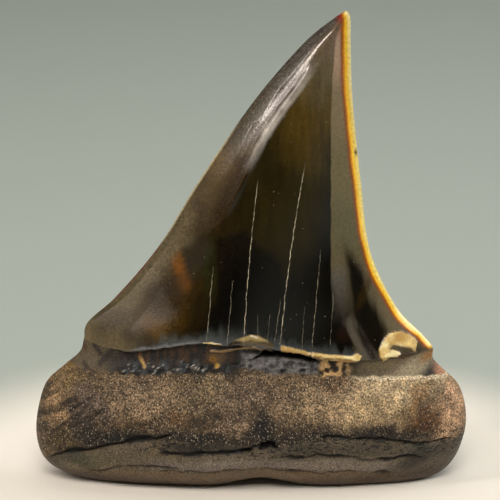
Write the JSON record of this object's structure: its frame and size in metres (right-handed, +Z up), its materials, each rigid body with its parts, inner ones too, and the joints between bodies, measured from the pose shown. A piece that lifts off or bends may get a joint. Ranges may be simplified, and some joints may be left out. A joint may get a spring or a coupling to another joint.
{
  "type": "fossil shark tooth",
  "caption": "Large fossil shark tooth with a smooth-edged leaning triangular crown, a sunken dark neck and a thick root with rounded lobes, standing upright on the root.",
  "frame": {"origin": "middle of the tooth's length and depth, on the plane of the worn flats under the two root lobes", "axes": "+Z up towards the tip, +X along the root towards the side the tip leans to, +Y towards the flatter outer face; the bulging inner face looks to -Y"},
  "size_m": [0.0592, 0.0152, 0.066],
  "materials": {
    "fossil_tooth": "glossy dark olive brown enamel with an amber rim above, porous speckled brown root below"
  },
  "bodies": {
    "root": {"tooth": "fossil_tooth"}
  },
  "joints": []
}
